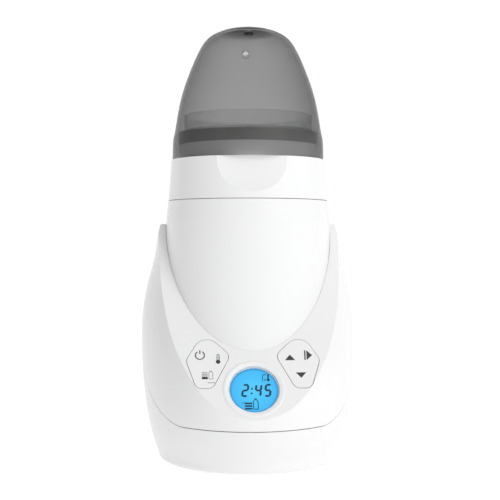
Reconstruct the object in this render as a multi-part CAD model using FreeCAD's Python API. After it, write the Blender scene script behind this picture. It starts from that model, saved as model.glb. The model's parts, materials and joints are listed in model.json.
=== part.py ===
import FreeCAD, Part

import math
import os
from FreeCAD import Matrix, Placement, Rotation, Vector

# A steam bottle warmer: a round warming chamber under a smoky dome lid, a shield-shaped front cover with a round
# display and two three-way keys on a sloped face, a lower housing that stands on four feet, and a water tank that
# lifts out of the back. Millimetres. The design frame has the chamber's axis at x = 0, y = 0, the front towards -Y,
# and the table at z = 0. write_part() moves every piece so that the origin is under the middle of the whole object.

# ---- driving dimensions ------------------------------------------------------------------------------------------

WALL = 2.4                  # casing thickness
SEAM = 0.5                  # gap that shows between two casings
BASE_Z = 1.5                # underside of the casing, above the table
COVER_TOP_Z = 157.6         # tips of the front cover's horns, and the rear rim
COLLAR_SEAM_Z = 172.7       # seam between the main housing and the collar
LEDGE_Z = 200.0             # ledge of the collar that the lid stands on
SPIGOT_TOP_Z = 210.0
RIM_TOP_Z = 218.0
BASKET_TOP_Z = 229.6
LID_TOP_Z = 288.8
LID_RADIUS = 50.7
LID_WALL = 1.8
LID_CEILING_RADIUS = 18.0   # a flat ceiling disc fills the dome's crown
LID_CEILING_Z = 284.4
LID_RELIEF = 0.25           # a shallow step inside the lid's rim, so that it drops over the collar easily
LID_RELIEF_HEIGHT = 3.5

# The outer casing at each level: half width, where it is widest, and its front and rear depths from the chamber's axis
STATIONS = [
    (BASE_Z, 58.8, 2.0, 58.8, 64.0),
    (16.0, 63.2, 3.0, 68.5, 74.0),
    (31.0, 66.9, 5.0, 78.2, 81.0),
    (44.0, 69.0, 7.0, 81.0, 84.5),
    (60.0, 70.6, 8.0, 79.4, 87.0),
    (80.0, 71.3, 8.0, 74.3, 88.0),
    (100.0, 70.6, 8.0, 65.6, 88.0),
    (120.0, 66.9, 8.0, 58.0, 87.5),
    (140.0, 62.0, 7.0, 56.2, 86.0),
    (160.0, 57.4, 5.0, 55.8, 83.5),
]
BOTTOM_ROUND = 4.5

# The sloped control face is a plane that starts at the horns' tips and falls towards the front.
FACE_SLOPE = 1.475          # fall in z for each millimetre towards the front
FACE_ANGLE = math.degrees(math.atan(FACE_SLOPE))
DISPLAY_Z = 56.1            # height of the display's centre
DISPLAY_Y = -(COVER_TOP_Z - DISPLAY_Z) / FACE_SLOPE
LENS_RADIUS = 15.5
BEZEL_RADIUS = 17.1           # the part that passes through the cover
BEZEL_FLANGE_RADIUS = 19.2
LENS_FLOOR = -1.4           # back of the window, from the control face
PANEL_FLOOR = -3.4          # back of the display panel
BOARD_DEPTH = 8.5           # from the control face to the control board's front

# Front cover: its side edge is a little behind the widest line, and sweeps forward to the bottom seam.
COVER_EDGE_Y = 14.0
COVER_EDGE_Z = 97.0
COVER_SEAM_Z = 31.6
COVER_SEAM_Y = -58.0

# Main housing and chamber
HOUSING_RADIUS = 54.0       # up to the level of the keys; it swells slightly above them
HOUSING_SWELL = 0.9
HOUSING_DRAFT = 0.04        # the lower part narrows downwards by this much
HOUSING_WALL = 2.2
CHAMBER_RADIUS = 42.0
LINER_WALL = 1.6
PLATE_Z = 50.0              # underside of the heater plate
DECK_Z = 27.0               # underside of the deck inside the lower housing
DECK_TOP_Z = DECK_Z + WALL
LINER_Z = 56.0
LUG_CIRCLE = 49.2           # the four screws that clamp the liner down

# Water tank and its valve
TANK_HALF_WIDTH = 45.0
TANK_FLOOR_Z = 58.0
TANK_WALL = 2.0
TANK_TOP_Z = 153.0
BAY_GAP = 0.6
VALVE_Y = 67.6
NECK_RADIUS = 8.0
CAP_RADIUS = 9.8
SEAT_RADIUS = 12.0
CAP_Z = 45.0                # underside of the tank's cap
STEM_DROP = 4.0             # how far the closed valve's stem reaches below the cap
POST_GAP = 0.3              # from the seat's post to the closed valve's stem
SEAT_SCREW_X = 14.6

# Keys: travel and outline, with the outline's corners from the key's own centre, for the key on the left
KEY_TRAVEL = 0.6
KEY_FOOT = -4.3             # lower end of the key's feet, from the control face
PLUNGER_END = -5.8
KEY_X = 28.0
KEY_RISE = 17.6             # up the face from the display's centre
KEY_CORNERS = [(-2.3, 21.7), (13.8, 5.4), (2.6, -17.0), (-7.1, -17.0), (-13.4, 2.2)]
KEY_ROUNDS = [8.3, 5.5, 4.8, 4.8, 6.0]
SWITCH_SPOTS = [(-33.2, 23.4), (-22.0, 20.8), (-28.4, 9.2)]

ELEMENT_RADIUS = 24.5       # ring of the heating element under the plate
CORD_GLAND_Z = 17.0
CORD_BORE = 3.3
GLAND_FACE_Y = 74.0
TUBE_Z = 39.5               # height of the water tube's run

FOOT_SPOTS = [(-24.0, -36.0), (24.0, -36.0), (-24.0, 42.0), (24.0, 42.0)]
BASE_SCREW_SPOTS = [(-41.0, -16.0), (41.0, -16.0), (-38.0, 26.0), (38.0, 26.0)]
POWER_BOARD_SPOTS = [(-27.0, -20.0), (27.0, -20.0), (-27.0, 20.0), (27.0, 20.0)]
BOARD_SCREW_SPOTS = [(-10.0, 20.5), (10.0, 20.5), (-24.0, -5.0), (24.0, -5.0)]

Z_AXIS = Vector(0, 0, 1)


# ---- helpers -----------------------------------------------------------------------------------------------------

def cylinder(radius, low, high, x=0.0, y=0.0):
    return Part.makeCylinder(radius, high - low, Vector(x, y, low), Z_AXIS)


def ring(inner, outer, low, high, x=0.0, y=0.0):
    return cylinder(outer, low, high, x, y).cut(cylinder(inner, low - 1, high + 1, x, y))


def box(x, y, z):
    """A box from three (low, high) pairs."""
    return Part.makeBox(x[1] - x[0], y[1] - y[0], z[1] - z[0], Vector(x[0], y[0], z[0]))


def fuse(first, *others):
    return first.fuse(list(others)).removeSplitter()


def on_circle(radius, count, start=0.0):
    for i in range(count):
        angle = math.radians(start + 360.0 * i / count)
        yield radius * math.cos(angle), radius * math.sin(angle)


def revolve(points):
    """A solid of revolution about the chamber's axis, from straight (radius, z) corners."""
    corners = [Vector(r, 0, z) for r, z in points]
    face = Part.Face(Part.makePolygon(corners + corners[:1]))
    return face.revolve(Vector(0, 0, 0), Z_AXIS, 360)


def side_prism(edges, half_width=110.0):
    """A prism across the whole width, from edges in the side plane."""
    face = Part.Face(Part.Wire(edges))
    face.translate(Vector(-half_width, 0, 0))
    return face.extrude(Vector(2 * half_width, 0, 0))


def side_polygon(points, half_width=110.0):
    corners = [Vector(0, y, z) for y, z in points]
    return side_prism(Part.makePolygon(corners + corners[:1]).Edges, half_width)


def rounded_outline(corners, radii, grow=0.0):
    """A closed wire in the xy plane with each corner rounded, grown outwards by a distance."""
    edges = []
    count = len(corners)
    for i in range(count):
        before, here, after = (Vector(*corners[(i + k) % count], 0) for k in (-1, 0, 1))
        to_before = (before - here).normalize()
        to_after = (after - here).normalize()
        half = to_before.getAngle(to_after) / 2
        radius = radii[i]
        reach = radius / math.tan(half)
        middle = (to_before + to_after).normalize() * (radius / math.sin(half) - radius)
        edges.append((here + to_before * reach, here + middle, here + to_after * reach))
    pieces = []
    for i, (start, middle, end) in enumerate(edges):
        pieces.append(Part.Arc(start, middle, end).toShape())
        pieces.append(Part.LineSegment(end, edges[(i + 1) % count][0]).toShape())
    wire = Part.Wire(pieces)
    if grow:
        wire = wire.makeOffset2D(grow)
    return wire


def tube_path(points, bend):
    """Straight runs joined by tangent arcs of the given radius."""
    pieces = []
    start = points[0]
    for before, here, after in zip(points, points[1:], points[2:]):
        to_before = (before - here).normalize()
        to_after = (after - here).normalize()
        half = to_before.getAngle(to_after) / 2
        reach = bend / math.tan(half)
        inside = (to_before + to_after).normalize() * (bend / math.sin(half) - bend)
        pieces.append(Part.LineSegment(start, here + to_before * reach).toShape())
        pieces.append(Part.Arc(here + to_before * reach, here + inside, here + to_after * reach).toShape())
        start = here + to_after * reach
    pieces.append(Part.LineSegment(start, points[-1]).toShape())
    return Part.Wire(pieces)


def tube(points, bend, outer, inner=0.0):
    """A round tube, or a solid wire when inner is 0."""
    path = tube_path(points, bend)
    direction = (points[1] - points[0]).normalize()

    def sweep(radius):
        circle = Part.Wire(Part.makeCircle(radius, points[0], direction))
        return path.makePipeShell([circle], True, False)

    solid = sweep(outer)
    return solid.cut(sweep(inner)) if inner else solid


def face_placement(along_x, up_face, depth=0.0):
    """Carries a shape from the xy plane onto the control face: x across, y up the face, z straight out of it."""
    slope = Rotation(Vector(1, 0, 0), FACE_ANGLE)
    start = Vector(0, DISPLAY_Y, DISPLAY_Z)
    return Placement(start + slope.multVec(Vector(along_x, up_face, depth)), slope)


def on_face(shape, along_x=0.0, up_face=0.0, depth=0.0):
    placed = shape.copy()
    placed.Placement = face_placement(along_x, up_face, depth).multiply(placed.Placement)
    return placed


# ---- the casing's outer form ---------------------------------------------------------------------------------------

def half_ellipse(half_width, widest_y, depth, z, rear):
    start = 0 if rear else 180
    arc = Part.makeCircle(1.0, Vector(0, 0, 0), Z_AXIS, start, start + 180)
    scale = Matrix()
    scale.A11 = half_width
    scale.A22 = depth - widest_y if rear else depth + widest_y
    scale.A24 = widest_y
    scale.A34 = z
    return arc.transformGeometry(scale)


def envelope(inset=0.0):
    """The casing's outer form, from the underside to just above the horns, moved inwards by inset."""
    wires = []
    for z, width, widest_y, front, rear in STATIONS:
        wires.append(Part.Wire([
            half_ellipse(width - inset, widest_y, front - inset, z, False),
            half_ellipse(width - inset, widest_y, rear - inset, z, True),
        ]))
    return Part.makeLoft(wires, True, False)


def rounded_envelope():
    """The outer form with its bottom edge rounded."""
    form = envelope()
    low_edges = [e for e in form.Edges if e.BoundBox.ZMax < BASE_Z + 0.01]
    return form.makeFillet(BOTTOM_ROUND, low_edges)


def slab(low, high):
    return box((-120, 120), (-120, 120), (low, high))


def above_face(depth=0.0):
    """Everything above the sloped face and the level rim behind it, lowered by depth."""
    drop = depth / math.cos(math.radians(FACE_ANGLE))
    far = 115.0
    return side_polygon([
        (120, COVER_TOP_Z - depth),
        ((drop - depth) / FACE_SLOPE, COVER_TOP_Z - depth),
        (-far, COVER_TOP_Z - drop - far * FACE_SLOPE),
        (-far, 320),
        (120, 320),
    ])


def cover_region(grow=0.0):
    """The part of the casing in front of the cover's edge, grown by a gap."""
    edge_y = COVER_EDGE_Y + grow
    seam_z = COVER_SEAM_Z - grow
    side_end = Vector(0, edge_y, COVER_EDGE_Z)
    seam_end = Vector(0, COVER_SEAM_Y, seam_z)
    curve = Part.BezierCurve()
    curve.setPoles([side_end, Vector(0, edge_y - 2, 67), Vector(0, COVER_SEAM_Y + 12, seam_z), seam_end])
    far_low = Vector(0, -115, seam_z)
    far_high = Vector(0, -115, 200)
    side_top = Vector(0, edge_y, 200)
    return side_prism([
        Part.LineSegment(side_top, side_end).toShape(),
        curve.toShape(),
        Part.LineSegment(seam_end, far_low).toShape(),
        Part.LineSegment(far_low, far_high).toShape(),
        Part.LineSegment(far_high, side_top).toShape(),
    ])


def key_outline(side, grow=0.0):
    corners = [(-side * x, y) for x, y in KEY_CORNERS]
    return Part.Face(rounded_outline(corners, KEY_ROUNDS, grow))


def key_prism(side, low, high, grow=0.0):
    """A key's outline as a prism on the control face; side is -1 for the left key and +1 for the right."""
    prism = key_outline(side, grow).extrude(Vector(0, 0, high - low))
    return on_face(prism, side * KEY_X, KEY_RISE, low)


# ---- casing --------------------------------------------------------------------------------------------------------

def housing_form(grow, low, high):
    """The round body of the main housing, grown outwards, between two levels."""
    radius = HOUSING_RADIUS + grow
    swollen = radius + HOUSING_SWELL
    form = revolve([(0, 0), (radius - HOUSING_DRAFT, 0), (radius, 75), (swollen, 150), (swollen - 0.1, 159),
                    (53.5 + grow, COLLAR_SEAM_Z), (0, COLLAR_SEAM_Z)])
    return form.common(slab(low, high))


def front_cover():
    outer = envelope().common(cover_region()).cut(above_face())
    inner = envelope(WALL).cut(above_face(WALL))
    cover = outer.cut(inner).cut(housing_form(0.15, 0, COLLAR_SEAM_Z))
    hole = on_face(cylinder(BEZEL_RADIUS + 0.1, -12, 6))
    cover = cover.cut([hole, key_prism(-1, -8, 6, 0.35), key_prism(1, -8, 6, 0.35)])
    bosses = [on_face(cylinder(2.6, -BOARD_DEPTH, -WALL + 0.3), x, y) for x, y in BOARD_SCREW_SPOTS]
    bores = [on_face(cylinder(1.0, -BOARD_DEPTH - 1, -WALL - 1.2), x, y) for x, y in BOARD_SCREW_SPOTS]
    return fuse(cover, *bosses).cut(bores)


def lower_housing():
    form = rounded_envelope().common(slab(0, COVER_TOP_Z))
    form = form.cut(cover_region(SEAM))
    hollow = envelope(WALL).common(slab(BASE_Z + 5.5, 200))
    mouth = envelope(WALL + 6.1).common(slab(0, BASE_Z + 6))
    shell = form.cut([hollow, mouth])
    bay_x = TANK_HALF_WIDTH + BAY_GAP
    shell = shell.cut(box((-bay_x, bay_x), (0, 120), (TANK_FLOOR_Z - 1, 200)))

    filling = envelope(WALL - 0.4)
    core = housing_form(0.15, DECK_TOP_Z, COLLAR_SEAM_Z)
    deck = filling.common(slab(DECK_Z, DECK_TOP_Z))
    bay = box((-bay_x, bay_x), (20, 120), (DECK_TOP_Z, 200))
    shoulder = filling.common(slab(COVER_TOP_Z - WALL, COVER_TOP_Z)).cut([core, bay, cover_region(SEAM)])
    bay_floor = filling.common(box((-bay_x - 1, bay_x + 1), (0, 120), (TANK_FLOOR_Z - 1 - WALL, TANK_FLOOR_Z - 1)))
    bay_sides = [
        filling.common(box(x, (20, 120), (DECK_TOP_Z - 0.4, COVER_TOP_Z)))
        for x in ((-bay_x - 2, -bay_x), (bay_x, bay_x + 2))
    ]
    bosses = [cylinder(4.0, 4.2, DECK_Z + 0.4, x, y) for x, y in BASE_SCREW_SPOTS]
    gland_boss = Part.makeCylinder(11.0, 16.0, Vector(0, 59, CORD_GLAND_Z), Vector(0, 1, 0))
    gland_boss = gland_boss.common(envelope().common(slab(BASE_Z + 5, DECK_Z)))
    bay_walls = [piece.cut(core) for piece in [bay_floor] + bay_sides]
    shell = fuse(shell, deck, shoulder, *bay_walls, *bosses, gland_boss)
    bores = [cylinder(1.3, 0, 16, x, y) for x, y in BASE_SCREW_SPOTS]
    gland_hole = Part.makeCylinder(6.0, 60, Vector(0, 55, CORD_GLAND_Z), Vector(0, 1, 0))
    gland_pocket = Part.makeCylinder(9.4, 30, Vector(0, GLAND_FACE_Y, CORD_GLAND_Z), Vector(0, 1, 0))
    valve_hole = cylinder(SEAT_RADIUS, 50, 70, 0, VALVE_Y)
    bores += [cylinder(0.9, 50, TANK_FLOOR_Z - 1.6, x, VALVE_Y) for x in (-SEAT_SCREW_X, SEAT_SCREW_X)]
    wire_hole = cylinder(5.0, DECK_Z - 1, DECK_TOP_Z + 1, 0, -30)
    board_hole = cylinder(4.0, DECK_Z - 1, DECK_TOP_Z + 1, 22, -56)
    return shell.cut(bores + [gland_hole, gland_pocket, valve_hole, wire_hole, board_hole])


def main_housing():
    outer = housing_form(0, DECK_TOP_Z, COLLAR_SEAM_Z).cut(housing_form(-HOUSING_WALL, 0, COLLAR_SEAM_Z))
    lip = ring(49.0, 50.6, COLLAR_SEAM_Z - 5, COLLAR_SEAM_Z + 4)
    shelf = ring(49.0, 52.5, COLLAR_SEAM_Z - 5, COLLAR_SEAM_Z - 3)
    board_space = box((-43, 43), (-80, -20), (DECK_TOP_Z + 6, 90)).cut(above_face(WALL + 0.4))
    tube_hole = box((-6, 6), (40, 70), (DECK_TOP_Z - 1, TUBE_Z + 6))
    return fuse(outer, lip, shelf).cut([board_space, tube_hole])


def collar_ring():
    """The ring under the lid, with a ledge, a spigot and a scoop for the thumb at the front."""
    low = COLLAR_SEAM_Z + SEAM - 0.1
    top_radius = LID_RADIUS + 0.7
    low_radius = 53.3
    spigot_in = CHAMBER_RADIUS + LINER_WALL + 0.3
    spigot_out = 46.2
    solid = revolve([(spigot_in, low), (low_radius, low), (top_radius, LEDGE_Z), (spigot_out, LEDGE_Z),
                     (spigot_out, SPIGOT_TOP_Z), (spigot_in, SPIGOT_TOP_Z)])
    hollow = revolve([(spigot_out, low - 1), (low_radius - WALL, low - 1), (low_radius - WALL, low),
                      (top_radius - WALL, LEDGE_Z - WALL), (spigot_out, LEDGE_Z - WALL)])
    spigot_relief = ring(spigot_in - 1, spigot_out + 0.01, low - 1, COLLAR_SEAM_Z + 6)
    backing = box((-25, 25), (-60, -20), (COLLAR_SEAM_Z + 5.5, LEDGE_Z - 1))
    collar = solid.cut([hollow.cut(backing), spigot_relief])
    scoop_radius = 50.6
    scoop = Part.makeCylinder(scoop_radius, 80, Vector(-40, -97.0, LEDGE_Z + 2), Vector(1, 0, 0))
    return collar.cut(scoop.common(slab(150, LEDGE_Z + 0.01)))


def chamber_rim():
    """The dark ring on the spigot, which the basket hangs from."""
    outer = ring(CHAMBER_RADIUS - 0.4, 46.6, SPIGOT_TOP_Z + 0.05, RIM_TOP_Z)
    return outer.cut(ring(43.2, 45.2, SPIGOT_TOP_Z - 1, RIM_TOP_Z - 2.5))


def chamber_liner():
    wall = ring(CHAMBER_RADIUS, CHAMBER_RADIUS + LINER_WALL, LINER_Z, SPIGOT_TOP_Z)
    return fuse(wall, ring(CHAMBER_RADIUS, 46.0, LINER_Z, LINER_Z + 2))


def base_plate():
    plate = envelope(WALL + 6.5).common(slab(BASE_Z, BASE_Z + WALL))
    top = BASE_Z + WALL
    standoffs = [cylinder(2.6, top - 0.2, 8.0, x, y) for x, y in POWER_BOARD_SPOTS]
    plate = fuse(plate, *standoffs)
    cuts = [cylinder(1.8, 0, 6, x, y) for x, y in BASE_SCREW_SPOTS]
    cuts += [cylinder(3.7, 0, BASE_Z + 1.1, x, y) for x, y in BASE_SCREW_SPOTS]
    cuts += [cylinder(5.6, 0, BASE_Z + 1.0, x, y) for x, y in FOOT_SPOTS]
    cuts += [box((-12, 12), (y, y + 2), (0, 6)) for y in range(-9, 12, 5)]
    return plate.cut(cuts)


def feet():
    return Part.makeCompound([cylinder(5.4, 0, BASE_Z + 1.0, x, y) for x, y in FOOT_SPOTS])


def screw(x, y, head_z, length, head_radius, radius, head_height=1.6):
    """A pan head below and a shank above, pointing up."""
    head = cylinder(head_radius, head_z, head_z + head_height, x, y)
    head = head.makeFillet(0.5, [e for e in head.Edges if e.BoundBox.ZMax < head_z + 0.01])
    slot = fuse(box((x - head_radius * 0.6, x + head_radius * 0.6), (y - 0.35, y + 0.35), (head_z - 1, head_z + 0.7)),
                box((x - 0.35, x + 0.35), (y - head_radius * 0.6, y + head_radius * 0.6), (head_z - 1, head_z + 0.7)))
    shank = cylinder(radius, head_z + head_height - 0.2, head_z + head_height + length, x, y)
    return fuse(head.cut(slot), shank)


def base_screws():
    return Part.makeCompound([screw(x, y, 1.0, 10.0, 3.3, 1.25) for x, y in BASE_SCREW_SPOTS])


def cord_gland():
    """The bush that the mains lead would pass through."""
    along = Vector(0, 1, 0)
    body = Part.makeCylinder(5.9, 13.0, Vector(0, GLAND_FACE_Y - 13, CORD_GLAND_Z), along)
    flange = Part.makeCylinder(8.6, 2.6, Vector(0, GLAND_FACE_Y + 0.05, CORD_GLAND_Z), along)
    flange = flange.makeFillet(0.9, [e for e in flange.Edges if e.BoundBox.YMin > GLAND_FACE_Y + 2.6])
    bore = Part.makeCylinder(CORD_BORE, 30.0, Vector(0, GLAND_FACE_Y - 20, CORD_GLAND_Z), along)
    return fuse(body, flange, Part.makeCylinder(5.9, 0.2, Vector(0, GLAND_FACE_Y - 0.1, CORD_GLAND_Z), along)).cut(bore)


# ---- lid and basket ------------------------------------------------------------------------------------------------

def lid_profile(inset):
    """The dome's outline from the top to the rim, moved inwards along its own normal."""
    rim_z = LEDGE_Z + 0.1
    outline = [(0, LID_TOP_Z), (17.0, 286.7), (27.4, 281.1), (33.0, 273.0), (39.9, 257.0), (46.0, 237.0),
               (49.5, 217.0), (LID_RADIUS, rim_z)]
    curve = Part.BSplineCurve()
    curve.interpolate([Vector(r, 0, z) for r, z in outline], InitialTangent=Vector(1, 0, 0),
                      FinalTangent=Vector(0.02, 0, -1), Scale=True)
    if not inset:
        return curve
    moved = []
    for r, z in outline:
        tangent = curve.tangent(curve.parameter(Vector(r, 0, z)))[0]
        moved.append(Vector(r, 0, z) + Vector(tangent.z, 0, -tangent.x) * inset)
    moved[0].x = 0
    moved[-1].z = rim_z
    inner = Part.BSplineCurve()
    inner.interpolate(moved, InitialTangent=Vector(1, 0, 0), FinalTangent=Vector(0.02, 0, -1), Scale=True)
    return inner


def dome_solid(inset):
    curve = lid_profile(inset)
    top, rim = curve.StartPoint, curve.EndPoint
    centre = Vector(0, 0, rim.z)
    wire = Part.Wire([curve.toShape(), Part.LineSegment(rim, centre).toShape(), Part.LineSegment(centre, top).toShape()])
    return Part.Face(wire).revolve(Vector(0, 0, 0), Z_AXIS, 360)


def dome_lid():
    """The lid, with one vent near its top and one on its rear shoulder."""
    outer = dome_solid(0.0)
    relief = cylinder(LID_RADIUS - LID_WALL + LID_RELIEF, LEDGE_Z, LEDGE_Z + LID_RELIEF_HEIGHT)
    shell = outer.cut([dome_solid(LID_WALL), relief])
    vent_y = -9.0
    boss = cylinder(3.1, LID_CEILING_Z - 1.6, LID_TOP_Z - 1, 0, vent_y).common(outer)
    ceiling = cylinder(LID_CEILING_RADIUS, LID_CEILING_Z, LID_TOP_Z).common(outer)
    rear_vent_axis = Vector(0, 0.777, 0.63)
    rear_boss = Part.makeCylinder(3.3, 14, Vector(0, 20.0, 270.0), rear_vent_axis).common(outer)
    rear_boss = rear_boss.cut(dome_solid(LID_WALL + 0.9))
    shell = fuse(shell, boss, ceiling, rear_boss)
    shell = shell.cut(cylinder(1.9, LID_CEILING_Z - 4, LID_TOP_Z + 2, 0, vent_y))
    return shell.cut(Part.makeCylinder(2.1, 20, Vector(0, 18.0, 268.4), rear_vent_axis))


def bottle_basket():
    floor_z = 60.0
    wall = ring(39.2, 40.8, floor_z, RIM_TOP_Z + 1.6)
    step = ring(39.2, 43.0, RIM_TOP_Z + 0.05, RIM_TOP_Z + 1.6)
    rim = ring(41.4, 43.0, RIM_TOP_Z + 0.05, BASKET_TOP_Z)
    floor = cylinder(40.8, floor_z, floor_z + 1.8)
    ribs = [cylinder(1.6, floor_z - 2.2, floor_z + 0.2, x, y) for x, y in on_circle(34.0, 6)]
    basket = fuse(wall, step, rim, floor, *ribs)
    holes = [cylinder(4.0, 50, 70)] + [cylinder(3.5, 50, 70, x, y) for x, y in on_circle(18.0, 6)]
    holes += [cylinder(2.5, 50, 70, x, y) for x, y in on_circle(30.0, 12, 15)]
    slots = []
    for i in range(6):
        slot = box((30, 50), (-3, 3), (66, 92))
        slot.rotate(Vector(0, 0, 0), Z_AXIS, 30 + 60 * i)
        slots.append(slot)
    return basket.cut(holes + slots)


# ---- heating -------------------------------------------------------------------------------------------------------

def heater_plate():
    plate = revolve([(0, PLATE_Z), (43.5, PLATE_Z), (43.5, PLATE_Z + 2), (46.0, PLATE_Z + 2), (46.0, PLATE_Z + 4),
                     (41.5, PLATE_Z + 4), (41.5, PLATE_Z + 2), (0, PLATE_Z + 2)])
    nipple = cylinder(3.2, PLATE_Z - 7, PLATE_Z + 0.2, 0, 33)
    return fuse(plate, nipple).cut(cylinder(2.0, 30, 60, 0, 33))


def plate_gasket():
    return ring(CHAMBER_RADIUS, 46.0, PLATE_Z + 4, LINER_Z)


def heater_support():
    """The ring on the deck that carries the heater plate and the liner."""
    wall = ring(46.6, 49.0, DECK_TOP_Z, LINER_Z + 2)
    shelf = ring(44.0, 46.8, PLATE_Z, PLATE_Z + 2)
    lugs = [cylinder(2.3, PLATE_Z - 4, LINER_Z + 2, x, y) for x, y in on_circle(LUG_CIRCLE, 4, 45)]
    support = fuse(wall, shelf, *lugs)
    cuts = [cylinder(0.9, LINER_Z - 6, LINER_Z + 3, x, y) for x, y in on_circle(LUG_CIRCLE, 4, 45)]
    cuts.append(box((-6, 6), (35, 60), (DECK_TOP_Z - 1, TUBE_Z + 6)))
    cuts.append(box((-9, 9), (-60, -35), (DECK_TOP_Z - 1, TUBE_Z + 6)))
    return support.cut(cuts)


def liner_clamp():
    clamp = ring(44.0, 49.0, LINER_Z + 2, LINER_Z + 3.6)
    lugs = [cylinder(2.3, LINER_Z + 2, LINER_Z + 3.6, x, y) for x, y in on_circle(LUG_CIRCLE, 4, 45)]
    return fuse(clamp, *lugs).cut([cylinder(1.1, 50, 70, x, y) for x, y in on_circle(LUG_CIRCLE, 4, 45)])


def clamp_screws():
    head_z = LINER_Z + 3.6
    screws = []
    for x, y in on_circle(LUG_CIRCLE, 4, 45):
        screws.append(fuse(cylinder(1.9, head_z, head_z + 1.2, x, y), cylinder(0.85, head_z - 6, head_z + 0.2, x, y)))
    return Part.makeCompound(screws)


def heating_element():
    """A sheathed element bent round under the plate, with its two pins."""
    ring_radius = ELEMENT_RADIUS
    sheath = 3.2
    centre_z = PLATE_Z - sheath
    sweep = 310.0
    circle = Part.Wire(Part.makeCircle(sheath, Vector(ring_radius, 0, centre_z), Vector(0, 1, 0)))
    body = Part.Face(circle).revolve(Vector(0, 0, 0), Z_AXIS, sweep)
    body.rotate(Vector(0, 0, 0), Z_AXIS, -90 + (360 - sweep) / 2)
    pins = []
    for side in (-1, 1):
        angle = math.radians(-90 + side * ((360 - sweep) / 2 + 4))
        pins.append(cylinder(1.6, 37.0, centre_z, ring_radius * math.cos(angle), ring_radius * math.sin(angle)))
    return fuse(body, *pins)


def thermostat():
    can = cylinder(7.5, PLATE_Z - 6.5, PLATE_Z)
    tabs = [box((x - 0.4, x + 0.4), (-3, 3), (PLATE_Z - 11, PLATE_Z - 6)) for x in (-5, 5)]
    return fuse(can, *tabs)


def thermal_fuse():
    body = Part.makeCylinder(2.0, 11.0, Vector(12, -5.5, PLATE_Z - 2.1), Vector(0, 1, 0))
    leads = Part.makeCylinder(0.5, 21.0, Vector(12, -10.5, PLATE_Z - 2.1), Vector(0, 1, 0))
    return fuse(body, leads)


def temperature_sensor():
    return fuse(cylinder(2.4, PLATE_Z - 4.5, PLATE_Z, -13, 4), cylinder(0.9, PLATE_Z - 9, PLATE_Z - 4, -13, 4))


# ---- water tank and valve ------------------------------------------------------------------------------------------

def tank_block(inset, low, high):
    half = TANK_HALF_WIDTH - inset
    block = envelope(inset).common(box((-half, half), (0, 120), (low, high)))
    return block.cut(housing_form(1.0 + inset, 1, COLLAR_SEAM_Z))


def water_tank():
    """The vessel, open at the top where its cover is welded on, with a neck below."""
    vessel = tank_block(0.0, TANK_FLOOR_Z, TANK_TOP_Z).cut(tank_block(TANK_WALL, TANK_FLOOR_Z + TANK_WALL, 158))
    neck = cylinder(NECK_RADIUS, CAP_Z + 3.6, TANK_FLOOR_Z + 0.2, 0, VALVE_Y)
    bore = cylinder(NECK_RADIUS - 1.4, CAP_Z, TANK_FLOOR_Z + TANK_WALL + 1, 0, VALVE_Y)
    return fuse(vessel, neck).cut(bore)


def tank_cover():
    """The lid of the tank, with a hollow on top and a lip at the back to lift it by."""
    plate = tank_block(0.0, TANK_TOP_Z, COVER_TOP_Z)
    plug = tank_block(TANK_WALL + 0.2, TANK_TOP_Z - 3, TANK_TOP_Z + 0.2)
    cover = fuse(plate, plug)
    hollow = Part.makeSphere(30.0, Vector(0, 69, COVER_TOP_Z + 27.2))
    return cover.cut(hollow)


def tank_cap():
    cup = cylinder(CAP_RADIUS, CAP_Z, CAP_Z + 10, 0, VALVE_Y)
    cup = cup.cut(cylinder(NECK_RADIUS + 0.3, CAP_Z + 2, CAP_Z + 11, 0, VALVE_Y))
    grips = [cylinder(0.7, CAP_Z - 1, CAP_Z + 8, x, y + VALVE_Y) for x, y in on_circle(CAP_RADIUS + 0.3, 16)]
    ports = [cylinder(0.7, CAP_Z - 1, CAP_Z + 3, x, y + VALVE_Y) for x, y in on_circle(3.4, 6)]
    return cup.cut(grips + ports + [cylinder(1.9, CAP_Z - 1, CAP_Z + 3, 0, VALVE_Y)])


def cap_seal():
    return ring(NECK_RADIUS - 1.4, NECK_RADIUS, CAP_Z + 2, CAP_Z + 3.6, 0, VALVE_Y)


def valve_poppet():
    """Stem, foot and disc, closed: the disc lies on the cap's floor."""
    stem = cylinder(1.5, CAP_Z - STEM_DROP, CAP_Z + 2.5, 0, VALVE_Y)
    foot = cylinder(3.3, CAP_Z - STEM_DROP, CAP_Z - 2.8, 0, VALVE_Y)
    disc = cylinder(5.2, CAP_Z + 2.05, CAP_Z + 3.8, 0, VALVE_Y)
    return fuse(stem, foot, disc)


def valve_spring():
    """An open coil between the poppet's foot and the cap's floor, swept along a smooth curve through a helix."""
    wire = 0.3
    coil = 2.4
    turns = 2.5
    steps_per_turn = 16
    low, high = CAP_Z - 2.8 + wire + 0.02, CAP_Z - wire - 0.02
    count = int(turns * steps_per_turn)
    points = []
    for i in range(count + 1):
        angle = 2 * math.pi * i / steps_per_turn
        points.append(Vector(coil * math.cos(angle), VALVE_Y + coil * math.sin(angle), low + (high - low) * i / count))
    curve = Part.BSplineCurve()
    curve.interpolate(points)
    path = Part.Wire([curve.toShape()])
    circle = Part.Wire(Part.makeCircle(wire, points[0], curve.tangent(curve.FirstParameter)[0]))
    return path.makePipeShell([circle], True, False)


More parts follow.
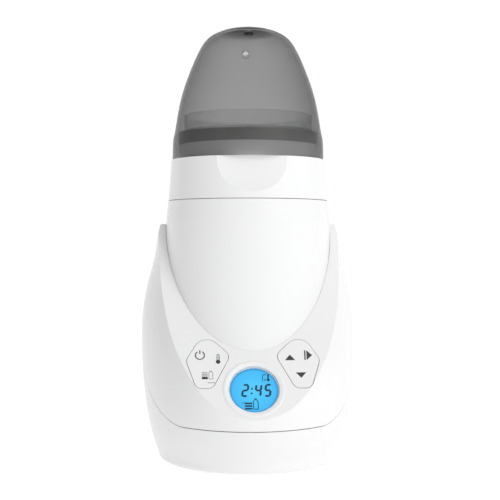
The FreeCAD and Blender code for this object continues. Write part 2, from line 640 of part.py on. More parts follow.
def valve_seat():
    """The cup under the bay that the tank's cap stands in, with its post and outlet."""
    floor_z = 36.4
    under_z = TANK_FLOOR_Z - 1 - WALL
    cup = cylinder(SEAT_RADIUS, floor_z, TANK_FLOOR_Z - 1, 0, VALVE_Y)
    ears = [cylinder(3.4, under_z - 2, under_z, x, VALVE_Y) for x in (-SEAT_SCREW_X, SEAT_SCREW_X)]
    cup = fuse(cup, cylinder(SEAT_RADIUS + 1.5, under_z - 2, under_z, 0, VALVE_Y), *ears)
    cup = cup.common(envelope(WALL + 0.2)).cut(housing_form(0.4, 1, COLLAR_SEAM_Z))
    cup = cup.cut(cylinder(SEAT_RADIUS - 1.4, floor_z + 1.6, 70, 0, VALVE_Y))
    post = cylinder(2.4, floor_z + 1.4, CAP_Z - STEM_DROP - POST_GAP, 0, VALVE_Y)
    nipple = Part.makeCylinder(2.6, 9.0, Vector(0, 57.5, TUBE_Z), Vector(0, -1, 0))
    outlet = Part.makeCylinder(1.5, 16.0, Vector(0, 59.5, TUBE_Z), Vector(0, -1, 0))
    holes = [cylinder(1.1, 50, under_z + 1, x, VALVE_Y) for x in (-SEAT_SCREW_X, SEAT_SCREW_X)]
    return fuse(cup, post, nipple).cut([outlet] + holes)


def seat_screws():
    low = TANK_FLOOR_Z - 1 - WALL - 2
    return Part.makeCompound([
        fuse(cylinder(1.9, low - 1.2, low, x, VALVE_Y), cylinder(0.85, low - 0.2, TANK_FLOOR_Z - 1.7, x, VALVE_Y))
        for x in (-SEAT_SCREW_X, SEAT_SCREW_X)
    ])


def water_tube():
    start = Vector(0, 55.4, TUBE_Z)
    corner = Vector(0, 33, TUBE_Z)
    end = Vector(0, 33, PLATE_Z - 0.3)
    return tube([start, corner, end], 6.0, 4.4, 2.7).cut(cylinder(3.25, PLATE_Z - 7.3, PLATE_Z, 0, 33))


# ---- controls ------------------------------------------------------------------------------------------------------

def key(side):
    """A three-way key: the face plate, the flange that keeps it in, and three feet."""
    plate = key_prism(side, -WALL - 0.4, 0.15)
    flange = key_prism(side, -WALL - 1.2, -WALL - 0.2, 1.3).common(envelope(WALL + 0.5))
    feet_up = [on_face(cylinder(1.5, KEY_FOOT, -WALL - 1.0), -side * x, y) for x, y in SWITCH_SPOTS]
    clearance = housing_form(1.2, 1, COLLAR_SEAM_Z)
    return fuse(plate.cut(clearance), flange.cut(clearance), *feet_up)


def plungers(side):
    pins = [on_face(cylinder(1.7, PLUNGER_END, KEY_FOOT), -side * x, y) for x, y in SWITCH_SPOTS]
    return Part.makeCompound(pins)


def switch_bodies():
    half = 3.0
    pocket_floor = PLUNGER_END - KEY_TRAVEL - 0.2
    bodies = []
    for side in (-1, 1):
        for x, y in SWITCH_SPOTS:
            body = box((-half, half), (-half, half), (-BOARD_DEPTH, -5.0)).cut(cylinder(1.85, pocket_floor, -4))
            bodies.append(on_face(body, -side * x, y))
    return Part.makeCompound(bodies)


def display_bezel():
    """A tube through the cover with a lip that carries the window, and a dished flange that lies on the cover."""
    bore = LENS_RADIUS + 0.1
    lip = LENS_RADIUS - 0.6
    crest = [Vector(BEZEL_FLANGE_RADIUS, 0, 0.05), Vector(BEZEL_FLANGE_RADIUS - 0.3, 0, 0.28), Vector(18.0, 0, 0.5),
             Vector(16.7, 0, 0.22), Vector(bore, 0, -0.15)]
    curve = Part.BSplineCurve()
    curve.interpolate(crest)
    corners = [Vector(r, 0, z) for r, z in [
        (bore, -0.15), (bore, LENS_FLOOR), (lip, LENS_FLOOR), (lip, LENS_FLOOR - 0.6), (bore, LENS_FLOOR - 0.6),
        (bore, -4.6), (BEZEL_RADIUS, -4.6), (BEZEL_RADIUS, 0.05), (BEZEL_FLANGE_RADIUS, 0.05)]]
    face = Part.Face(Part.Wire([curve.toShape()] + Part.makePolygon(corners).Edges))
    return on_face(face.revolve(Vector(0, 0, 0), Z_AXIS, 360))


def display_lens():
    return on_face(cylinder(LENS_RADIUS, LENS_FLOOR, -0.15))


def lcd_panel():
    return on_face(cylinder(LENS_RADIUS - 0.2, PANEL_FLOOR, LENS_FLOOR - 0.65))


def backlight():
    return on_face(cylinder(LENS_RADIUS - 0.2, -BOARD_DEPTH, PANEL_FLOOR - 0.05))


def control_board():
    board = on_face(box((-40, 40), (-18, 29), (-BOARD_DEPTH - 1.6, -BOARD_DEPTH)))
    board = board.common(envelope(WALL + 2.0)).cut(cylinder(CHAMBER_RADIUS + 3.6, 0, 300))
    return board.cut([on_face(cylinder(1.3, -12, 0), x, y) for x, y in BOARD_SCREW_SPOTS])


def board_screws():
    screws = []
    low = -BOARD_DEPTH - 1.6
    for x, y in BOARD_SCREW_SPOTS:
        screws.append(on_face(fuse(cylinder(2.0, low - 1.2, low), cylinder(0.95, low - 0.2, low + 6)), x, y))
    return Part.makeCompound(screws)


def buzzer():
    return on_face(cylinder(5.0, -BOARD_DEPTH, -BOARD_DEPTH + 4.5), 0, 22.8)


def power_board():
    board = box((-31, 31), (-24, 24), (8.0, 9.6))
    return board.cut([cylinder(1.0, 7, 11, x, y) for x, y in POWER_BOARD_SPOTS])


def relay():
    return box((-26, -8), (-14, -2), (9.6, 23.6))


def transformer():
    core = box((0, 20), (-16, 2), (9.6, 24.0))
    winding = box((3, 17), (-18, 4), (11.0, 22.0))
    return fuse(core, winding)


def capacitors():
    return Part.makeCompound([cylinder(4.0, 9.6, 21.0, -20, 12), cylinder(3.0, 9.6, 18.0, -10, 13)])


def terminal_block():
    block = box((0, 20), (10, 20), (9.6, 19.6))
    return block.cut([cylinder(1.8, 16, 21, x, 15) for x in (4, 10, 16)])


def heater_leads():
    """The two wires from the element's pins down through the deck to the board."""
    leads = []
    for side in (-1, 1):
        angle = math.radians(-90 + side * 29)
        x, y = ELEMENT_RADIUS * math.cos(angle), ELEMENT_RADIUS * math.sin(angle)
        top = Vector(x, y, 37.0)
        points = [top, Vector(x, y, 33.0), Vector(side * 2.4, -30, 31.6), Vector(side * 2.4, -30, 15),
                  Vector(side * 2.4 - 4, -21, 10.75)]
        leads.append(tube(points, 1.4, 1.1))
    return Part.makeCompound(leads)


def board_cable():
    """The flat bundle from the control board down through the deck, as one round cable."""
    start = face_placement(22, -14, -BOARD_DEPTH - 1.6).Base
    away = face_placement(22, -14, -BOARD_DEPTH - 8).Base
    points = [start, away, Vector(22, -56, 31), Vector(22, -56, 20), Vector(22, -44, 13), Vector(22, -21, 11.45)]
    return tube(points, 2.4, 1.8)


# ---- output --------------------------------------------------------------------------------------------------------

PIECES = {
    "front_cover": front_cover,
    "lower_housing": lower_housing,
    "main_housing": main_housing,
    "collar_ring": collar_ring,
    "chamber_rim": chamber_rim,
    "chamber_liner": chamber_liner,
    "base_plate": base_plate,
    "feet": feet,
    "base_screws": base_screws,
    "cord_gland": cord_gland,
    "dome_lid": dome_lid,
    "bottle_basket": bottle_basket,
    "heater_plate": heater_plate,
    "plate_gasket": plate_gasket,
    "heater_support": heater_support,
    "liner_clamp": liner_clamp,
    "clamp_screws": clamp_screws,
    "heating_element": heating_element,
    "thermostat": thermostat,
    "thermal_fuse": thermal_fuse,
    "temperature_sensor": temperature_sensor,
    "water_tank": water_tank,
    "tank_cover": tank_cover,
    "tank_cap": tank_cap,
    "cap_seal": cap_seal,
    "valve_poppet": valve_poppet,
    "valve_spring": valve_spring,
    "valve_seat": valve_seat,
    "seat_screws": seat_screws,
    "water_tube": water_tube,
    "left_key": lambda: key(-1),
    "right_key": lambda: key(1),
    "left_plungers": lambda: plungers(-1),
    "right_plungers": lambda: plungers(1),
    "switch_bodies": switch_bodies,
    "display_bezel": display_bezel,
    "display_lens": display_lens,
    "lcd_panel": lcd_panel,
    "backlight": backlight,
    "control_board": control_board,
    "board_screws": board_screws,
    "buzzer": buzzer,
    "power_board": power_board,
    "relay": relay,
    "transformer": transformer,
    "capacitors": capacitors,
    "terminal_block": terminal_block,
    "heater_leads": heater_leads,
    "board_cable": board_cable,
}


def write_part(name, shape, centre_y):
    solids = shape.Solids
    problems = [s for s in solids if not s.isValid() or s.Volume <= 0]
    shape = solids[0] if len(solids) == 1 else Part.makeCompound(solids)
    shape.translate(Vector(0, -centre_y, 0))
    shape.exportStep(os.path.join("parts", name + ".step"))
    note = "  INVALID" if problems else ""
    print(f"{name:20s} solids {len(solids)}  volume {shape.Volume / 1000:8.2f} cm3{note}")


def main():
    os.makedirs("parts", exist_ok=True)
    shapes = {name: make() for name, make in PIECES.items()}
    extent = Part.makeCompound(list(shapes.values())).optimalBoundingBox(False, False)
    centre_y = (extent.YMin + extent.YMax) / 2
    print(f"the chamber's axis is at y = {-centre_y:.4f}, overall {extent.XLength:.2f} x {extent.YLength:.2f} "
          f"x {extent.ZLength:.2f} mm")
    for name, shape in shapes.items():
        write_part(name, shape, centre_y)


main()
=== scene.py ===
import json
import math

import bmesh
import bpy
from mathutils import Matrix, Vector


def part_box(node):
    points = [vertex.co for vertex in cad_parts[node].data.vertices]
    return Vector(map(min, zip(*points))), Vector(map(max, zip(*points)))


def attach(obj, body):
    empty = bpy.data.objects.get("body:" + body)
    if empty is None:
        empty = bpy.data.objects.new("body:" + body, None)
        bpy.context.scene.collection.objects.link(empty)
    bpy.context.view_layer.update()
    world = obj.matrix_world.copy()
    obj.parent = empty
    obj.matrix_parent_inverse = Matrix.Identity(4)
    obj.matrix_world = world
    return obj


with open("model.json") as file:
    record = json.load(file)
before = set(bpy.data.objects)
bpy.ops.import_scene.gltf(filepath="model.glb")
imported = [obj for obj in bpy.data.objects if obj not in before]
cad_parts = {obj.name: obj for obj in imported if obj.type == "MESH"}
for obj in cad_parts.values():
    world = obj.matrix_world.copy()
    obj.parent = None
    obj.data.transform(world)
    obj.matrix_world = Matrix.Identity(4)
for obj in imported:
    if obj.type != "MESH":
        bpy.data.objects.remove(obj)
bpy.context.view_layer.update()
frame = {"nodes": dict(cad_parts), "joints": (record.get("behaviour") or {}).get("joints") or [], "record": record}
NODES = frame["nodes"]

# ---- places worked out from the frame ----------------------------------------------------------------

MM = 0.001
LID_LOW, LID_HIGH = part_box("dome_lid")
AXIS_Y = (LID_LOW.y + LID_HIGH.y) / 2          # the chamber's axis
LENS_LOW, LENS_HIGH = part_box("display_lens")
KEY_TRAVEL = next(j for j in frame["joints"] if j["name"] == "left_key_press")
INWARD = Vector(KEY_TRAVEL["axis"]).normalized()
FACE_OUT = -INWARD                             # normal of the sloped control face
FACE_UP = (Vector((0, 0, 1)) - FACE_OUT * FACE_OUT.z).normalized()
LENS_FRONT = -0.15 * MM                        # the window's front lies this far from the control face
SPOT = (LENS_LOW + LENS_HIGH) / 2              # middle of the window

SCREEN_RADIUS = 15.0 * MM
PRINT_DEPTH = 0.05 * MM                        # thickness of a printed mark


def face_matrix(along_x, up_face, depth):
    """From the xy plane to the control face: x across, y up the face, z out of it. Lengths in metres."""
    place = FACE_CENTRE + Vector((1, 0, 0)) * along_x + FACE_UP * up_face + FACE_OUT * depth
    turn = Matrix((Vector((1, 0, 0)), FACE_UP, FACE_OUT)).transposed().to_4x4()
    return Matrix.Translation(place) @ turn


def front_reach(node):
    """How far a node reaches along the control face's normal."""
    return max(v.co.dot(FACE_OUT) for v in NODES[node].data.vertices)


def window_front():
    """The middle of the display on the control face, from the window's own front face."""
    return SPOT + FACE_OUT * (front_reach("display_lens") - SPOT.dot(FACE_OUT) - LENS_FRONT)


FACE_CENTRE = window_front()


# ---- materials ---------------------------------------------------------------------------------------

def new_material(name, **sockets):
    """A Principled material; each keyword is one of the shader's sockets with _ for a space."""
    material = bpy.data.materials.new(name)
    material.use_nodes = True
    shader = material.node_tree.nodes["Principled BSDF"]
    for key, value in sockets.items():
        socket = shader.inputs[key.replace("_", " ")]
        socket.default_value = (*value, 1.0) if isinstance(value, tuple) and len(value) == 3 else value
    return material


def noise(material, scale, detail=3.0, roughness=0.55):
    nodes, links = material.node_tree.nodes, material.node_tree.links
    place = nodes.new("ShaderNodeTexCoord")
    texture = nodes.new("ShaderNodeTexNoise")
    texture.inputs["Scale"].default_value = scale
    texture.inputs["Detail"].default_value = detail
    texture.inputs["Roughness"].default_value = roughness
    links.new(place.outputs["Object"], texture.inputs["Vector"])
    return texture


def grain(material, scale, strength, distance, detail=3.0):
    """Fine relief, in metres."""
    nodes, links = material.node_tree.nodes, material.node_tree.links
    texture = noise(material, scale, detail)
    bump = nodes.new("ShaderNodeBump")
    bump.inputs["Strength"].default_value = strength
    bump.inputs["Distance"].default_value = distance
    links.new(texture.outputs["Fac"], bump.inputs["Height"])
    links.new(bump.outputs["Normal"], nodes["Principled BSDF"].inputs["Normal"])


def vary(material, socket, scale, low, high, detail=4.0):
    """Drives one socket between two values or colours by a slow noise."""
    nodes, links = material.node_tree.nodes, material.node_tree.links
    texture = noise(material, scale, detail)
    ramp = nodes.new("ShaderNodeValToRGB")
    ramp.color_ramp.elements[0].position = 0.3
    ramp.color_ramp.elements[1].position = 0.7
    for element, value in zip(ramp.color_ramp.elements, (low, high)):
        element.color = (*value, 1.0) if isinstance(value, tuple) else (value, value, value, 1.0)
    links.new(texture.outputs["Fac"], ramp.inputs["Fac"])
    links.new(ramp.outputs["Color"], nodes["Principled BSDF"].inputs[socket])


def white_plastic():
    material = new_material("white_gloss_plastic", Roughness=0.24, IOR=1.5)
    vary(material, "Base Color", 9.0, (0.775, 0.778, 0.782), (0.795, 0.796, 0.798))
    vary(material, "Roughness", 30.0, 0.20, 0.27)
    grain(material, 420.0, 0.12, 0.00012)
    return material


def key_plastic():
    material = new_material("white_key_plastic", Roughness=0.33, IOR=1.5)
    vary(material, "Base Color", 40.0, (0.775, 0.778, 0.782), (0.795, 0.796, 0.798))
    grain(material, 1500.0, 0.2, 0.00006)
    return material


def smoke_plastic(name, density, ior=1.16, clear=(0.97, 0.975, 0.97)):
    """Plastic tinted a little by its surface and more by the way through it; density is per metre."""
    material = new_material(name, Roughness=0.02, IOR=ior, Transmission_Weight=1.0)
    vary(material, "Base Color", 14.0, tuple(c * 0.985 for c in clear), clear)
    grain(material, 160.0, 0.05, 0.0002, 2.0)
    nodes, links = material.node_tree.nodes, material.node_tree.links
    tint = nodes.new("ShaderNodeVolumeAbsorption")
    tint.inputs["Color"].default_value = (0.0, 0.015, 0.0, 1.0)
    tint.inputs["Density"].default_value = density
    links.new(tint.outputs["Volume"], nodes["Material Output"].inputs["Volume"])
    return material


def moulded(name, low, high, roughness, scale=700.0, relief=0.2):
    material = new_material(name, Roughness=roughness, IOR=1.48)
    vary(material, "Base Color", 60.0, low, high)
    grain(material, scale, relief, 0.00012)
    return material


def metal(name, low, high, roughness, scale=900.0):
    material = new_material(name, Roughness=roughness, Metallic=1.0)
    vary(material, "Base Color", 120.0, low, high)
    vary(material, "Roughness", 240.0, roughness * 0.8, roughness * 1.25)
    grain(material, scale, 0.15, 0.00008)
    return material


def lit_screen():
    """Blue liquid-crystal panel, brighter near the middle, with a darker rim."""
    material = new_material("lit_blue_screen", Base_Color=(0.01, 0.04, 0.06), Roughness=0.5,
                            Specular_IOR_Level=0.1)
    nodes, links = material.node_tree.nodes, material.node_tree.links
    place = nodes.new("ShaderNodeTexCoord")
    offset = nodes.new("ShaderNodeVectorMath")
    offset.operation = "SUBTRACT"
    offset.inputs[1].default_value = FACE_CENTRE
    length = nodes.new("ShaderNodeVectorMath")
    length.operation = "LENGTH"
    share = nodes.new("ShaderNodeMath")
    share.operation = "DIVIDE"
    share.inputs[1].default_value = SCREEN_RADIUS
    ramp = nodes.new("ShaderNodeValToRGB")
    ramp.color_ramp.elements[0].position = 0.0
    ramp.color_ramp.elements[0].color = (0.085, 0.62, 0.98, 1.0)
    ramp.color_ramp.elements[1].position = 1.0
    ramp.color_ramp.elements[1].color = (0.008, 0.20, 0.50, 1.0)
    middle = ramp.color_ramp.elements.new(0.90)
    middle.color = (0.045, 0.47, 0.92, 1.0)
    links.new(place.outputs["Object"], offset.inputs[0])
    links.new(offset.outputs["Vector"], length.inputs[0])
    links.new(length.outputs["Value"], share.inputs[0])
    links.new(share.outputs["Value"], ramp.inputs["Fac"])
    shader = nodes["Principled BSDF"]
    links.new(ramp.outputs["Color"], shader.inputs["Emission Color"])
    shader.inputs["Emission Strength"].default_value = 1.0
    return material


def clear_window():
    material = new_material("clear_display_window", Base_Color=(0.2, 0.5, 0.7), Roughness=0.02, IOR=1.3,
                            Alpha=0.05)
    grain(material, 300.0, 0.02, 0.0001)
    return material


def printed(name, colour):
    material = new_material(name, Roughness=0.6, IOR=1.45, Specular_IOR_Level=0.15)
    vary(material, "Base Color", 900.0, colour, tuple(c * 1.15 for c in colour))
    return material


MATERIALS = {
    "white_shell": white_plastic(),
    "key_white": key_plastic(),
    "smoke_lid": smoke_plastic("smoke_tinted_lid", 150.0, 1.07, (0.72, 0.722, 0.72)),
    "smoke_tank": smoke_plastic("smoke_tinted_tank", 120.0, 1.3),
    "dark_ring": moulded("dark_glossy_ring", (0.32, 0.32, 0.315), (0.36, 0.36, 0.355), 0.3),
    "basket_clear": smoke_plastic("clear_basket", 60.0, 1.2),
    "liner_grey": moulded("grey_liner", (0.34, 0.34, 0.34), (0.38, 0.38, 0.38), 0.45),
    "heater_aluminium": metal("cast_aluminium", (0.55, 0.56, 0.57), (0.66, 0.66, 0.67), 0.38),
    "element_steel": metal("heat_tinted_steel", (0.42, 0.38, 0.34), (0.55, 0.53, 0.52), 0.35),
    "screw_steel": metal("zinc_plated_steel", (0.62, 0.62, 0.64), (0.72, 0.72, 0.73), 0.30),
    "sensor_metal": metal("plain_steel", (0.60, 0.59, 0.58), (0.70, 0.69, 0.68), 0.34),
    "brass_tag": metal("plain_brass", (0.70, 0.54, 0.26), (0.80, 0.64, 0.34), 0.32),
    "foot_rubber": moulded("grey_rubber", (0.030, 0.030, 0.031), (0.045, 0.045, 0.046), 0.75, 900.0, 0.5),
    "seal_silicone": moulded("milky_silicone", (0.76, 0.76, 0.74), (0.82, 0.82, 0.80), 0.5),
    "black_plastic": moulded("black_plastic", (0.018, 0.018, 0.019), (0.028, 0.028, 0.029), 0.42,
                             1200.0, 0.35),
    "grey_plastic": moulded("grey_plastic", (0.40, 0.41, 0.42), (0.46, 0.47, 0.48), 0.4),
    "blue_relay": moulded("blue_relay_case", (0.02, 0.07, 0.34), (0.03, 0.09, 0.40), 0.3),
    "board_green": moulded("green_board", (0.012, 0.10, 0.035), (0.02, 0.14, 0.05), 0.4, 1600.0, 0.4),
    "copper_winding": moulded("taped_winding", (0.55, 0.33, 0.06), (0.62, 0.40, 0.08), 0.45),
    "display_window": clear_window(),
    "display_blue": lit_screen(),
    "light_guide": moulded("milky_light_guide", (0.80, 0.86, 0.90), (0.84, 0.90, 0.94), 0.4),
    "wire_sleeve": moulded("sleeved_wire", (0.60, 0.60, 0.56), (0.70, 0.70, 0.66), 0.7, 2600.0, 0.6),
    "spring_steel": metal("bright_spring_wire", (0.66, 0.66, 0.67), (0.74, 0.74, 0.75), 0.22),
}


def dress_nodes():
    slots = {part["node"]: part["material_slot"] for part in frame["record"]["subparts"]}
    for name, node in NODES.items():
        for place in node.material_slots:
            place.material = MATERIALS[slots[name]]


# ---- printed marks -----------------------------------------------------------------------------------

def add_object(name, mesh, material, body):
    piece = bpy.data.objects.new(name, mesh)
    bpy.context.scene.collection.objects.link(piece)
    mesh.materials.append(material)
    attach(piece, body)
    return piece


def flat_shapes(name, outlines, place, thickness, material, body):
    """Thin raised shapes from closed outlines in millimetres, laid on the control face at place."""
    shapes = bmesh.new()
    for outline in outlines:
        low = [shapes.verts.new((x * MM, y * MM, 0)) for x, y in outline]
        high = [shapes.verts.new((x * MM, y * MM, thickness)) for x, y in outline]
        shapes.faces.new(list(reversed(low)))
        shapes.faces.new(high)
        count = len(outline)
        for i in range(count):
            k = (i + 1) % count
            shapes.faces.new((low[i], low[k], high[k], high[i]))
    bmesh.ops.recalc_face_normals(shapes, faces=shapes.faces)
    shapes.transform(place)
    mesh = bpy.data.meshes.new(name)
    shapes.to_mesh(mesh)
    shapes.free()
    return add_object(name, mesh, material, body)


def arc_points(x, y, radius, start, end, count):
    for i in range(count + 1):
        angle = math.radians(start + (end - start) * i / count)
        yield x + radius * math.cos(angle), y + radius * math.sin(angle)


def band(x, y, radius, width, start, end, pieces=24):
    """Outlines of a stroke along an arc, as short closed quads."""
    inner = list(arc_points(x, y, radius - width / 2, start, end, pieces))
    outer = list(arc_points(x, y, radius + width / 2, start, end, pieces))
    return [inner + outer[::-1]]


def stroke(x0, y0, x1, y1, width):
    """One straight stroke with square ends."""
    length = math.hypot(x1 - x0, y1 - y0)
    across_x, across_y = -(y1 - y0) / length * width / 2, (x1 - x0) / length * width / 2
    return [[(x0 + across_x, y0 + across_y), (x0 - across_x, y0 - across_y),
             (x1 - across_x, y1 - across_y), (x1 + across_x, y1 + across_y)]]


def box_outline(x0, y0, x1, y1):
    return [[(x0, y0), (x1, y0), (x1, y1), (x0, y1)]]


def disc(x, y, radius, count=24):
    return [list(arc_points(x, y, radius, 0, 360 - 360 / count, count - 1))]


def thermometer(x, y, height, width):
    bulb = width * 0.95
    low = y - height / 2 + bulb
    return disc(x, low, bulb) + [
        [(x - width / 2, low), (x + width / 2, low), (x + width / 2, y + height / 2 - width / 2)]
        + list(arc_points(x, y + height / 2 - width / 2, width / 2, 10, 170, 8))
        + [(x - width / 2, y + height / 2 - width / 2)]
    ]


def outlined_thermometer(x, y, height, width, line):
    """A hollow stem with a round end and scale lines, on a solid bulb."""
    bulb = width * 0.8
    low, half = y - height / 2 + bulb, (width - line) / 2
    high = y + height / 2 - width / 2
    marks = disc(x, low, bulb)
    for side in (x - half, x + half):
        marks += stroke(side, low, side, high, line)
    marks += band(x, high, half, line, 0, 180, 10)
    for share in (0.45, 0.7):
        level = low + (high - low) * share
        marks += stroke(x, level, x + half, level, line * 0.8)
    return marks


def bottle_mark(x, y, height, line):
    """A bottle's outline: body, shoulders and neck, as strokes."""
    half = height * 0.22
    low, shoulder, top = y - height / 2, y + height * 0.22, y + height / 2
    neck = half * 0.5
    walls = stroke(x - half, low, x - half, shoulder, line) + stroke(x + half, low, x + half, shoulder, line)
    base = stroke(x - half, low, x + half, low, line)
    left_shoulder = stroke(x - half, shoulder, x - neck, top - line, line)
    right_shoulder = stroke(x + half, shoulder, x + neck, top - line, line)
    cap = stroke(x - neck, top, x + neck, top, line * 2)
    return walls + base + left_shoulder + right_shoulder + cap


def level_lines(x, y, width, height, count, line):
    step = height / (count - 1)
    marks = []
    for i in range(count):
        level = y - height / 2 + step * i
        marks += stroke(x - width / 2, level, x + width / 2, level, line)
    return marks


def power_mark(x, y, radius, line):
    return band(x, y, radius, line, 120, 420) + stroke(x, y + radius * 0.35, x, y + radius * 1.25, line)


def triangle(x, y, width, height):
    return [[(x - width / 2, y - height / 2), (x + width / 2, y - height / 2), (x, y + height / 2)]]


def start_mark(x, y, height, line):
    bar = box_outline(x - 2.0, y - height / 2, x - 2.0 + line * 1.6, y + height / 2)
    return bar + [[(x - 0.6, y - height / 2), (x + 2.9, y), (x - 0.6, y + height / 2)]]


# Segments of a digit: a top, b and c right, d bottom, e and f left, g middle
DIGITS = {"2": "abged", "4": "fgbc", "5": "afgcd"}


def digit(mark, x, y, width, height, line, lean):
    """One seven-segment digit centred on x, y, leaning right."""
    half_w, half_h = width / 2, height / 2
    gap = line * 0.04
    ends = {
        "a": (-half_w, half_h, half_w, half_h), "d": (-half_w, -half_h, half_w, -half_h),
        "g": (-half_w, 0, half_w, 0), "b": (half_w, 0, half_w, half_h), "c": (half_w, -half_h, half_w, 0),
        "f": (-half_w, 0, -half_w, half_h), "e": (-half_w, -half_h, -half_w, 0),
    }
    outlines = []
    for segment in DIGITS[mark]:
        x0, y0, x1, y1 = ends[segment]
        along_x, along_y = (1, 0) if y0 == y1 else (0, 1)
        start = (x0 + along_x * gap, y0 + along_y * gap)
        end = (x1 - along_x * gap, y1 - along_y * gap)
        tip, half = line * 0.4, line / 2
        points = [
            start, (start[0] + along_x * tip + along_y * half, start[1] + along_y * tip + along_x * half),
            (end[0] - along_x * tip + along_y * half, end[1] - along_y * tip + along_x * half), end,
            (end[0] - along_x * tip - along_y * half, end[1] - along_y * tip - along_x * half),
            (start[0] + along_x * tip - along_y * half, start[1] + along_y * tip - along_x * half),
        ]
        outlines.append([(x + px + py * lean, y + py) for px, py in points])
    return outlines


def key_marks():
    ink = printed("dark_grey_print", (0.055, 0.055, 0.06))
    key_front = 0.16 * MM
    left = power_mark(-32.9, 23.2, 2.8, 0.66)
    left += outlined_thermometer(-21.7, 20.6, 6.7, 1.75, 0.42)
    left += level_lines(-30.0, 9.0, 3.6, 4.2, 5, 0.36) + box_outline(-31.8, 6.9, -28.2, 8.3)
    left += bottle_mark(-26.3, 9.5, 5.3, 0.24) + stroke(-28.2, 4.3, -23.7, 4.3, 0.3)
    right = triangle(22.9, 21.4, 6.4, 3.9)
    right += start_mark(33.9, 22.9, 6.8, 0.5)
    right += [[(x, 2 * 9.1 - y) for x, y in outline] for outline in triangle(29.2, 9.1, 6.4, 3.7)]
    place = face_matrix(0, 0, key_front)
    for outlines, body in ((left, "left_key"), (right, "right_key")):
        flat_shapes(body + "_marks", outlines, place, PRINT_DEPTH, ink, body)


def screen_marks():
    ink = printed("dark_blue_segments", (0.004, 0.012, 0.035))
    panel_front = front_reach("lcd_panel") - FACE_CENTRE.dot(FACE_OUT)
    lean = 0.13
    outlines = []
    for mark, along in (("2", -5.4), ("4", 2.6), ("5", 8.5)):
        outlines += digit(mark, along, 0.0, 3.1, 7.5, 1.3, lean)
    outlines += box_outline(-1.8, 0.6, -0.7, 1.7) + box_outline(-2.1, -2.5, -1.0, -1.4)
    outlines += thermometer(8.9, 8.6, 4.9, 1.0)
    roof = [(5.4, 6.0), (5.4, 9.9), (6.6, 11.0), (7.6, 10.1)]
    for (x0, y0), (x1, y1) in zip(roof, roof[1:]):
        outlines += stroke(x0, y0, x1, y1, 0.45)
    outlines += box_outline(6.5, 6.6, 7.4, 7.5)
    outlines += level_lines(-3.7, -10.4, 4.5, 3.5, 3, 1.1) + bottle_mark(0.7, -9.2, 6.6, 0.5)
    outlines += stroke(-7.7, -8.3, -5.8, -8.3, 0.35)
    place = face_matrix(0, 0, panel_front + 0.02 * MM)
    flat_shapes("screen_segments", outlines, place, PRINT_DEPTH, ink, "warmer")


# ---- studio ------------------------------------------------------------------------------------------

CAMERA_DISTANCE = 0.7226
CAMERA_HEIGHT = 0.1455
CAMERA_TURN = math.radians(-3.2)
FOCAL_LENGTH = 77.4
CAMERA_SHIFT = (0.0041, -0.016)
FLOOR_DROP = 0.0002                            # keeps the floor just clear of the feet


def make_camera():
    data = bpy.data.cameras.new("camera")
    data.lens = FOCAL_LENGTH
    data.sensor_width = 36.0
    data.shift_x, data.shift_y = CAMERA_SHIFT
    camera = bpy.data.objects.new("camera", data)
    bpy.context.scene.collection.objects.link(camera)
    side, forward = math.sin(CAMERA_TURN), math.cos(CAMERA_TURN)
    camera.location = (CAMERA_DISTANCE * side, AXIS_Y - CAMERA_DISTANCE * forward, CAMERA_HEIGHT)
    camera.rotation_euler = (math.radians(90), 0, CAMERA_TURN)
    bpy.context.scene.camera = camera


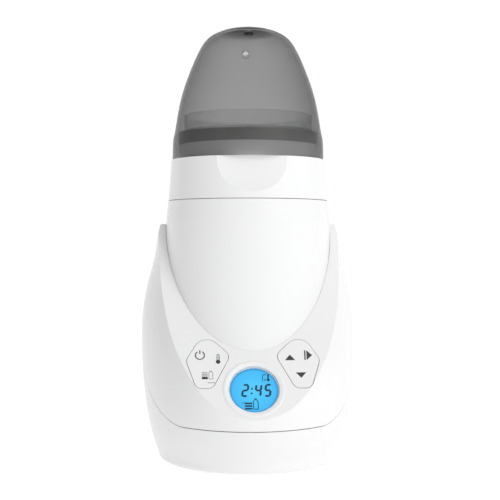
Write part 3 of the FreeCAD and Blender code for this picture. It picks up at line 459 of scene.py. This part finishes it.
def make_floor():
    """A pale floor that sweeps up far behind into a backdrop."""
    sweep = bmesh.new()
    half_width, front, back, bend, height, steps = 6.0, -4.0, 2.0, 1.5, 5.0, 16
    profile = [(front, 0.0), (back, 0.0)]
    for i in range(1, steps + 1):
        angle = math.pi / 2 * i / steps
        profile.append((back + bend * math.sin(angle), bend - bend * math.cos(angle)))
    profile.append((back + bend, height))
    rows = [[sweep.verts.new((x, y, z - FLOOR_DROP)) for y, z in profile] for x in (-half_width, half_width)]
    for i in range(len(profile) - 1):
        sweep.faces.new((rows[0][i], rows[1][i], rows[1][i + 1], rows[0][i + 1]))
    mesh = bpy.data.meshes.new("floor")
    sweep.to_mesh(mesh)
    sweep.free()
    for face in mesh.polygons:
        face.use_smooth = True
    floor = bpy.data.objects.new("floor", mesh)
    bpy.context.scene.collection.objects.link(floor)
    material = new_material("pale_floor", Roughness=1.0, Specular_IOR_Level=0.0,
                            Emission_Color=(1.0, 1.0, 1.0), Emission_Strength=0.66)
    vary(material, "Base Color", 3.0, (0.50, 0.50, 0.50), (0.52, 0.52, 0.52))
    mesh.materials.append(material)


def area_light(name, place, target, width, height, power):
    data = bpy.data.lights.new(name, "AREA")
    data.shape = "RECTANGLE"
    data.size = width
    data.size_y = height
    data.energy = power
    light = bpy.data.objects.new(name, data)
    bpy.context.scene.collection.objects.link(light)
    light.location = place
    light.visible_glossy = False
    light.rotation_euler = (Vector(target) - Vector(place)).to_track_quat("-Z", "Y").to_euler()


def make_world():
    """Soft studio light: a little dimmer from the left than from the right."""
    world = bpy.data.worlds.new("studio")
    bpy.context.scene.world = world
    world.use_nodes = True
    nodes, links = world.node_tree.nodes, world.node_tree.links
    place = nodes.new("ShaderNodeTexCoord")
    dot = nodes.new("ShaderNodeVectorMath")
    dot.operation = "DOT_PRODUCT"
    dot.inputs[1].default_value = (0.10, 0.0, 0.08)
    level = nodes.new("ShaderNodeMath")
    level.operation = "ADD"
    level.inputs[1].default_value = 0.60
    links.new(place.outputs["Generated"], dot.inputs[0])
    links.new(dot.outputs["Value"], level.inputs[0])
    links.new(level.outputs["Value"], nodes["Background"].inputs["Strength"])
    nodes["Background"].inputs["Color"].default_value = (1.0, 1.0, 1.0, 1.0)


def make_lights():
    middle = (0, AXIS_Y, 0.15)
    area_light("right_softbox", (0.60, -0.90, 0.70), middle, 0.6, 0.6, 6.0)


def main():
    bpy.context.scene.view_settings.view_transform = "Standard"
    make_camera()
    make_floor()
    make_world()
    make_lights()
    dress_nodes()
    key_marks()
    screen_marks()


main()
